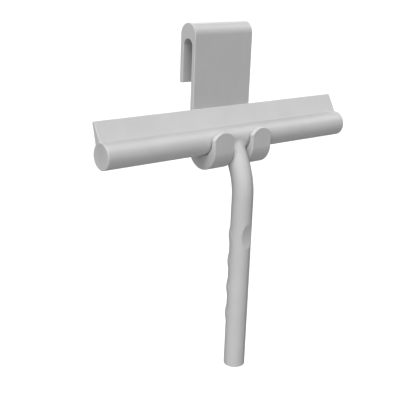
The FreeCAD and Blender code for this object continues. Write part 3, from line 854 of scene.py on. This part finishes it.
class Field:
    """Number in a geometry node tree that plain arithmetic works on."""

    def __init__(self, tree: bpy.types.NodeTree, socket: bpy.types.NodeSocket) -> None:
        """Wraps an output socket.

        Args:
            tree: the tree that holds it.
            socket: the output socket.
        """
        self.tree = tree
        self.socket = socket

    def math(self, operation: str, *others: "Field | float") -> "Field":
        """Applies a Math node.

        Args:
            operation: the node's operation.
            others: its further inputs.

        Returns:
            The result.
        """
        node = self.tree.nodes.new("ShaderNodeMath")
        node.operation = operation
        for socket, value in zip(node.inputs, (self, *others)):
            if isinstance(value, Field):
                self.tree.links.new(value.socket, socket)
            else:
                socket.default_value = value
        return Field(self.tree, node.outputs[0])

    def __add__(self, other: "Field | float") -> "Field":
        """Sum."""
        return self.math("ADD", other)

    def __sub__(self, other: "Field | float") -> "Field":
        """Difference."""
        return self.math("SUBTRACT", other)

    def __mul__(self, other: "Field | float") -> "Field":
        """Product."""
        return self.math("MULTIPLY", other)

    def __truediv__(self, other: "Field | float") -> "Field":
        """Quotient."""
        return self.math("DIVIDE", other)

    def from_one(self) -> "Field":
        """One minus the number."""
        return (self * -1.0) + 1.0

    def held(self, low: "Field | float", high: "Field | float") -> "Field":
        """The number kept between two limits."""
        return self.math("MAXIMUM", low).math("MINIMUM", high)

    def sine(self) -> "Field":
        """Sine of an angle in radians."""
        return self.math("SINE")

    def cosine(self) -> "Field":
        """Cosine of an angle in radians."""
        return self.math("COSINE")


@dataclass
class Grip:
    """Silicone grip: round sleeve on a bent centreline, rippled behind and dented in front for the thumb."""

    radius: float = 8.9
    tilt: float = 31.6
    bend_radius: float = 57.0
    edge: float = 1.0
    wave_height: float = 1.35
    wave_pitch: float = 23.4
    crests: int = 4
    first_crest_drop: float = 77.9
    wave_blend: float = 0.12
    thumb_drop: float = 77.7
    thumb_depth: float = 1.5
    thumb_length: float = 21.0
    thumb_soften: float = 0.16
    columns: int = 120
    cap_rows: int = 4
    edge_rows: int = 8
    body_rows: int = 300
    top_rows: int = 2
    sharp_angle: float = 50.0

    def sizes(self, head: WiperHead) -> dict[str, float]:
        """Inputs of the node tree, in metres and radians.

        Args:
            head: the wiping head whose neck the grip meets.

        Returns:
            Value by input name.
        """
        low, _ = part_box("grip_sleeve")
        lean = math.radians(self.tilt)
        elbow_y = head.centre.y - (head.neck_length * math.sin(lean)
                                   + self.bend_radius * (1 - math.cos(lean))) * MM
        elbow_z = head.centre.z - (head.neck_length * math.cos(lean)
                                   + self.bend_radius * math.sin(lean)) * MM
        half = self.thumb_length / 2
        return {
            "Elbow Y": elbow_y,
            "Elbow Z": elbow_z,
            "Straight": elbow_z - low.z,
            "Radius": self.radius * MM,
            "Bend Radius": self.bend_radius * MM,
            "Bend Angle": lean,
            "Edge": self.edge * MM,
            "Wave Height": self.wave_height * MM,
            "Wave Pitch": self.wave_pitch * MM,
            "Last Crest": self.crests - 0.5,
            "First Crest Z": head.centre.z - self.first_crest_drop * MM - elbow_z,
            "Wave Blend": self.wave_blend,
            "Thumb Z": head.centre.z - self.thumb_drop * MM - elbow_z,
            "Thumb Depth": self.thumb_depth * MM,
            "Thumb Bow": (half ** 2 + self.thumb_depth ** 2) / (2 * self.thumb_depth) * MM,
            "Thumb Soften": self.thumb_soften * MM,
        }

    def tree(self, names: Iterable[str]) -> tuple[bpy.types.NodeTree, dict[str, str]]:
        """Node tree that wraps a grid round the bent centreline.

        Args:
            names: names of the size inputs.

        Returns:
            The tree, and each input's identifier by its name.
        """
        tree = bpy.data.node_groups.new("grip_rule", "GeometryNodeTree")
        tree.interface.new_socket(name="Geometry", in_out="OUTPUT", socket_type="NodeSocketGeometry")
        keys = {}
        for name in names:
            socket = tree.interface.new_socket(name=name, in_out="INPUT", socket_type="NodeSocketFloat")
            keys[name] = socket.identifier
        finish = tree.interface.new_socket(name="Material", in_out="INPUT", socket_type="NodeSocketMaterial")
        keys["Material"] = finish.identifier
        given = tree.nodes.new("NodeGroupInput")
        size = {name: Field(tree, given.outputs[name]) for name in names}

        rows = self.cap_rows + self.edge_rows + self.body_rows + self.top_rows
        grid = tree.nodes.new("GeometryNodeMeshGrid")
        grid.inputs["Size X"].default_value = 1.0
        grid.inputs["Size Y"].default_value = 1.0
        grid.inputs["Vertices X"].default_value = self.columns + 1
        grid.inputs["Vertices Y"].default_value = rows + 1
        place = tree.nodes.new("GeometryNodeInputPosition")
        split = tree.nodes.new("ShaderNodeSeparateXYZ")
        tree.links.new(place.outputs["Position"], split.inputs["Vector"])
        turn = (Field(tree, split.outputs["X"]) + 0.5) * math.tau
        row = (Field(tree, split.outputs["Y"]) + 0.5) * float(rows)

        # Ring radius and distance up the centreline: flat bottom, rounded rim, sleeve, flat top.
        rim = ((row - float(self.cap_rows)) / float(self.edge_rows)).held(0.0, 1.0) * (math.pi / 2)
        flat = size["Radius"] - size["Edge"]
        ring = flat * (row / float(self.cap_rows)).held(0.0, 1.0) + size["Edge"] * rim.sine()
        body_start = float(self.cap_rows + self.edge_rows)
        share = ((row - body_start) / float(self.body_rows)).held(0.0, 1.0)
        closing = ((row - body_start - float(self.body_rows)) / float(self.top_rows)).held(0.0, 1.0)
        ring = ring * closing.from_one()
        length = size["Straight"] + size["Bend Radius"] * size["Bend Angle"]
        climb = size["Edge"] * rim.cosine().from_one() + (length - size["Edge"]) * share

        # Ring points, first as if the grip were straight: finger waves behind, thumb dent in front.
        across = ring * turn.sine()
        fore = ring * turn.cosine()
        height = climb - size["Straight"]
        phase = ((size["First Crest Z"] - height) / size["Wave Pitch"]).held(-0.5, size["Last Crest"])
        crest = (phase * math.tau).cosine() * 0.5 + 0.5
        swell = (turn.cosine() + crest - 1.0).math("SMOOTH_MAX", 0.0, size["Wave Blend"])
        swell = size["Wave Height"] * swell * closing.from_one() * (rim / (math.pi / 2))
        across = across + swell * turn.sine()
        fore = fore + swell * turn.cosine()
        off = height - size["Thumb Z"]
        scoop = size["Thumb Depth"] - size["Radius"] - off * off / (size["Thumb Bow"] * 2.0)
        fore = fore.math("SMOOTH_MAX", scoop, size["Thumb Soften"])

        # Bend the straight sleeve round the elbow.
        angle = (height / size["Bend Radius"]).held(0.0, size["Bend Angle"])
        arm = size["Bend Radius"] * angle.cosine().from_one() + fore * angle.cosine()
        rise = (height.math("MINIMUM", 0.0) + size["Bend Radius"] * angle.sine()) - fore * angle.sine()
        join = tree.nodes.new("ShaderNodeCombineXYZ")
        for axis, value in (("X", across), ("Y", arm + size["Elbow Y"]), ("Z", rise + size["Elbow Z"])):
            tree.links.new(value.socket, join.inputs[axis])
        moved = tree.nodes.new("GeometryNodeSetPosition")
        merged = tree.nodes.new("GeometryNodeMergeByDistance")
        merged.inputs["Distance"].default_value = TOLERANCE
        realized = tree.nodes.new("GeometryNodeRealizeInstances")
        dressed = tree.nodes.new("GeometryNodeSetMaterial")
        output = tree.nodes.new("NodeGroupOutput")
        tree.links.new(grid.outputs["Mesh"], moved.inputs["Geometry"])
        tree.links.new(join.outputs["Vector"], moved.inputs["Position"])
        tree.links.new(moved.outputs["Geometry"], merged.inputs["Geometry"])
        tree.links.new(merged.outputs["Geometry"], realized.inputs["Geometry"])
        tree.links.new(realized.outputs["Geometry"], dressed.inputs["Geometry"])
        tree.links.new(given.outputs["Material"], dressed.inputs["Material"])
        tree.links.new(dressed.outputs["Geometry"], output.inputs["Geometry"])
        return tree, keys

    def build(self, head: WiperHead, material: bpy.types.Material) -> bpy.types.Object:
        """Makes the grip's mesh.

        Args:
            head: the wiping head whose neck the grip meets.
            material: the grip's finish.

        Returns:
            The grip as a plain mesh object.
        """
        sizes = self.sizes(head)
        tree, keys = self.tree(sizes)
        host = linked("grip_host", bpy.data.meshes.new("grip_host"))
        modifier = host.modifiers.new("rule", "NODES")
        modifier.node_group = tree
        for name, value in sizes.items():
            modifier[keys[name]] = value
        modifier[keys["Material"]] = material
        mesh = evaluated_mesh(host, "grip_skin")
        bpy.data.objects.remove(host)
        point_outwards(mesh)
        mesh.shade_smooth()
        mesh.set_sharp_from_angle(angle=math.radians(self.sharp_angle))
        return linked("grip_skin", mesh)


# ---------------------------------------------------------------- the holder


@dataclass
class Hanger:
    """Silicone skin of the holder: a hoop over the glass, a plate and two hooks with rounded tips."""

    slot_width: float = 10.5
    wall: float = 4.0
    crown: float = 12.7
    rear_leg: float = 35.2
    hook_drop: float = 84.5
    hook_floor: float = 11.85
    trough_radius: float = 12.3
    trough_pad: float = 0.5
    ramp: float = 10.0
    fork_height: float = 9.5
    gap_half: float = 10.1
    prong_rise: float = 9.6
    tip_rise: float = 5.5
    tip_corner: float = 2.0
    edge: float = 0.65
    bevel_segments: int = 4
    bevel_angle: float = 35.0
    normal_weight: int = 100
    hoop_step: float = 4.0
    hook_step: float = 3.0
    slot_step: float = 6.0
    arch_step: float = 5.0
    corner_step: float = 10.0
    merge_gap: float = 2e-6
    flat_angle: float = 0.2

    def __post_init__(self) -> None:
        """Reads the holder's overall place from the frame."""
        low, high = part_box("hanger_cover")
        self.half_width = (high.x - low.x) / 2 / MM
        self.hook_radius = self.wall + self.trough_radius + self.trough_pad / 2
        self.hook = Vector((-self.slot_width / 2 - self.hook_radius, -self.hook_drop))
        self.floor = self.hook.y - self.hook_radius + self.hook_floor
        self.trough = Vector((self.hook.x - self.hook_radius + self.wall + self.trough_radius,
                              self.floor + self.trough_radius))
        self.tip = bar_centre().z / MM + self.prong_rise

    def side(self) -> list[Vector]:
        """Draws the side view of the holder.

        Returns:
            Its Y and Z corners.
        """
        half = self.slot_width / 2
        outer = half + self.wall
        crown = Vector((0.0, self.crown - outer))
        slot = Vector((0.0, -half))
        trough, hook = self.trough, self.hook
        hoop = arc(crown, outer, 0.0, 180.0, self.hoop_step).points
        bowl = arc(trough, self.trough_radius, 360.0, 180.0, self.hoop_step).points
        under = arc(hook, self.hook_radius, 180.0, 360.0, self.hook_step).points
        inside = arc(slot, half, 180.0, 0.0, self.slot_step).points
        return ([Vector((outer, -self.rear_leg))] + hoop
                + [Vector((-outer, trough.y + self.ramp))] + bowl
                + [Vector((bowl[-1].x, self.tip)), Vector((hook.x - self.hook_radius, self.tip))]
                + under + inside + [Vector((half, -self.rear_leg))])

    def gap(self) -> list[Vector]:
        """Draws the gap that the handle hangs in, as seen from the front.

        Returns:
            Its X and Z corners.
        """
        centre = Vector((0.0, self.hook.y + self.fork_height - self.gap_half))
        below = self.hook.y - 2 * self.hook_radius
        return ([Vector((-self.gap_half, below)), Vector((self.gap_half, below))]
                + arc(centre, self.gap_half, 0.0, 180.0, self.slot_step).points)

    def hook_tip(self, middle: float) -> list[Vector]:
        """Rounded end of one hook, seen from the front: a flat arch with softened corners.

        Args:
            middle: X of the hook's middle.

        Returns:
            X and Z corners, from left to right.
        """
        half = (self.half_width - self.gap_half) / 2
        bow = (half ** 2 + self.tip_rise ** 2) / (2 * self.tip_rise)
        arch = Vector((middle, self.tip - bow))
        inset = half - self.tip_corner
        level = math.sqrt((bow - self.tip_corner) ** 2 - inset ** 2)
        turn = angle_of(Vector((inset, level)))
        left = arc(arch + Vector((-inset, level)), self.tip_corner, 180.0, 180.0 - turn, self.corner_step)
        over = arc(arch, bow, 180.0 - turn, turn, self.arch_step)
        right = arc(arch + Vector((inset, level)), self.tip_corner, turn, 0.0, self.corner_step)
        return (left + over + right).points

    def around_tips(self) -> list[Vector]:
        """Draws what is cut away round and between the two hook tips, as seen from the front.

        Returns:
            Its X and Z corners.
        """
        middle = (self.half_width + self.gap_half) / 2
        left, right = self.hook_tip(-middle), self.hook_tip(middle)
        beyond, above = self.half_width + self.wall, self.tip + self.wall
        between = self.hook.y + self.fork_height - self.gap_half
        return ([Vector((-beyond, left[0].y))] + left
                + [Vector((-self.gap_half, between)), Vector((self.gap_half, between))] + right
                + [Vector((beyond, right[-1].y)), Vector((beyond, above)), Vector((-beyond, above))])

    def build(self) -> bpy.types.Object:
        """Makes the holder's mesh: side view drawn out, gap and tips cut, edges rounded.

        Returns:
            The holder's skin.
        """
        front = self.hook.x - 2 * self.hook_radius
        body = prism("hanger_host", self.side(), 0, -self.half_width, self.half_width)
        cutters = [prism("gap_cutter", self.gap(), 1, front, self.slot_width),
                   prism("tip_cutter", self.around_tips(), 1, front, self.hook.x)]
        for cutter in cutters:
            cut = body.modifiers.new(cutter.name, "BOOLEAN")
            cut.operation = "DIFFERENCE"
            cut.solver = "EXACT"
            cut.object = cutter
        cut_mesh = evaluated_mesh(body, "hanger_cut")
        for item in (body, *cutters):
            bpy.data.objects.remove(item)
        self.tidy(cut_mesh)
        raw = linked("hanger_raw", cut_mesh)
        bevel = raw.modifiers.new("edges", "BEVEL")
        bevel.width = self.edge * MM
        bevel.segments = self.bevel_segments
        bevel.limit_method = "ANGLE"
        bevel.angle_limit = math.radians(self.bevel_angle)
        bevel.use_clamp_overlap = False
        weighted = raw.modifiers.new("normals", "WEIGHTED_NORMAL")
        weighted.mode = "FACE_AREA"
        weighted.weight = self.normal_weight
        mesh = evaluated_mesh(raw, "hanger_skin")
        bpy.data.objects.remove(raw)
        return linked("hanger_skin", mesh)

    def tidy(self, mesh: bpy.types.Mesh) -> None:
        """Merges doubles and flat fragments of a cut mesh, and shades it smooth.

        Args:
            mesh: the mesh to change.
        """
        work = bmesh.new()
        work.from_mesh(mesh)
        bmesh.ops.remove_doubles(work, verts=work.verts, dist=self.merge_gap)
        bmesh.ops.dissolve_limit(work, angle_limit=math.radians(self.flat_angle), verts=work.verts,
                                 edges=work.edges)
        bmesh.ops.recalc_face_normals(work, faces=work.faces)
        work.to_mesh(mesh)
        work.free()
        mesh.shade_smooth()


# ---------------------------------------------------------------- the hidden cores


@dataclass(frozen=True)
class Cores:
    """Steel, plastic and brass pieces of the frame, which keep their CAD shapes."""

    finishes: dict[Slot, bpy.types.Material]

    def dress(self) -> None:
        """Gives each CAD node the finish of its slot in the record."""
        slots = {part["node"]: Slot(part["material_slot"]) for part in frame["record"]["subparts"]}
        for node, item in sorted(frame["nodes"].items()):
            item.data.materials.clear()
            item.data.materials.append(self.finishes[slots[node]])
            LOG.info("%s: %s", node, slots[node].value)


# ---------------------------------------------------------------- studio


@dataclass(frozen=True)
class Lamp:
    """Soft light from one side, softer as it is wider; one for gloss alone adds a highlight and no shade."""

    name: str
    azimuth: float
    elevation: float
    softness: float
    strength: float
    gloss_only: bool = False


@dataclass
class Studio:
    """Camera, floor and soft lights."""

    azimuth: float = -40.3
    elevation: float = 17.31
    roll: float = 2.33
    distance: float = 0.7262
    aim: tuple[float, float, float] = (-0.0142, -0.0140, -0.1381)
    lens: float = 75.55
    sensor: float = 36.0
    nearest: float = 0.01
    floor_drop: float = 1.3
    floor_half: float = 40.0
    floor_shade: float = 0.93
    floor_roughness: float = 0.9
    floor_specular: float = 0.1
    sky_strength: float = 0.07
    backdrop_strength: float = 1.0
    lamp_distance: float = 2.0
    lamps: tuple[Lamp, ...] = (Lamp("window", -55.0, 45.0, 110.0, 3.29),
                               Lamp("key", -55.0, 60.0, 24.0, 1.18),
                               Lamp("bounce", 60.0, -85.0, 90.0, 0.91),
                               Lamp("rear", 140.0, 10.0, 60.0, 2.0),
                               Lamp("gloss", 68.0, 41.0, 30.0, 0.7, gloss_only=True))

    @staticmethod
    def outward(azimuth: float, elevation: float) -> Vector:
        """Direction from the object towards a viewer.

        Args:
            azimuth: degrees from -Y towards +X.
            elevation: degrees above the level.

        Returns:
            The unit vector.
        """
        a, e = math.radians(azimuth), math.radians(elevation)
        return Vector((math.sin(a) * math.cos(e), -math.cos(a) * math.cos(e), math.sin(e)))

    def stand(self, item: bpy.types.Object, azimuth: float, elevation: float, distance: float,
              roll: float = 0.0) -> None:
        """Puts a camera or a light in the scene, looking at the object.

        Args:
            item: the camera or light.
            azimuth: where it stands, in degrees from -Y towards +X.
            elevation: degrees above the level.
            distance: metres from the aimed point.
            roll: degrees that it leans about its own line of sight.
        """
        back = self.outward(azimuth, elevation)
        turn = Matrix.Rotation(math.radians(roll), 3, "Z").to_quaternion()
        item.rotation_mode = "QUATERNION"
        item.rotation_quaternion = (-back).to_track_quat("-Z", "Y") @ turn
        item.location = Vector(self.aim) + back * distance
        bpy.context.scene.collection.objects.link(item)

    def add_camera(self) -> None:
        """Camera at the viewing angle of the object in use."""
        data = bpy.data.cameras.new("camera")
        data.lens = self.lens
        data.sensor_width = self.sensor
        data.clip_start = self.nearest
        camera = bpy.data.objects.new("camera", data)
        self.stand(camera, self.azimuth, self.elevation, self.distance, self.roll)
        bpy.context.scene.camera = camera

    def add_lamp(self, lamp: Lamp) -> None:
        """Adds one soft light.

        Args:
            lamp: where it stands, how wide it is and its strength.
        """
        data = bpy.data.lights.new(lamp.name, "SUN")
        data.energy = lamp.strength
        data.angle = math.radians(lamp.softness)
        light = bpy.data.objects.new(lamp.name, data)
        light.visible_diffuse = not lamp.gloss_only
        self.stand(light, lamp.azimuth, lamp.elevation, self.lamp_distance)

    def add_floor(self) -> None:
        """Plain pale floor well below the hanging object.

        Only the camera sees it, and the bounce lamp stands for the light that it throws back.
        """
        half, z = self.floor_half, -self.floor_drop
        mesh = bpy.data.meshes.new("floor")
        mesh.from_pydata([(-half, -half, z), (half, -half, z), (half, half, z), (-half, half, z)], [],
                         [(0, 1, 2, 3)])
        floor = linked("floor", mesh)
        floor.visible_diffuse = False
        floor.visible_glossy = False
        floor.visible_shadow = False
        shader = Shader("pale_floor")
        shader.surface.inputs["Base Color"].default_value = (*(self.floor_shade,) * 3, 1.0)
        shader.surface.inputs["Roughness"].default_value = self.floor_roughness
        shader.surface.inputs["Specular IOR Level"].default_value = self.floor_specular
        mesh.materials.append(shader.material)

    def add_sky(self) -> None:
        """Weak even light from all round, with a pale backdrop behind the floor's far edge."""
        world = bpy.data.worlds.new("studio")
        world.use_nodes = True
        tree = world.node_tree
        background = tree.nodes["Background"]
        background.inputs["Color"].default_value = (1.0, 1.0, 1.0, 1.0)
        seen = tree.nodes.new("ShaderNodeLightPath").outputs["Is Camera Ray"]
        strength = tree.nodes.new("ShaderNodeMapRange")
        strength.inputs["To Min"].default_value = self.sky_strength
        strength.inputs["To Max"].default_value = self.backdrop_strength
        tree.links.new(seen, strength.inputs["Value"])
        tree.links.new(strength.outputs["Result"], background.inputs["Strength"])
        bpy.context.scene.world = world

    def build(self) -> None:
        """Sets up everything that isn't the object."""
        bpy.context.scene.view_settings.view_transform = "Standard"
        self.add_camera()
        self.add_sky()
        self.add_floor()
        for lamp in self.lamps:
            self.add_lamp(lamp)


def main() -> None:
    """Builds the studio, the skins and the finishes."""
    logging.basicConfig(level=logging.INFO, format="%(name)s %(message)s")
    Studio().build()
    finishes = {Slot.SILICONE: Silicone().build(), Slot.STEEL: Steel().build(),
                Slot.PLASTIC: Nylon().build(), Slot.BRASS: Brass().build()}
    Cores(finishes).dress()
    silicone = finishes[Slot.SILICONE]
    head = WiperHead()
    fit_out(head.build(), Body.SQUEEGEE, ["wiper_sleeve"], silicone)
    fit_out(Grip().build(head, silicone), Body.SQUEEGEE, ["grip_sleeve"], silicone)
    fit_out(Hanger().build(), Body.HANGER, ["hanger_cover"], silicone)


if __name__ == "__main__":
    main()
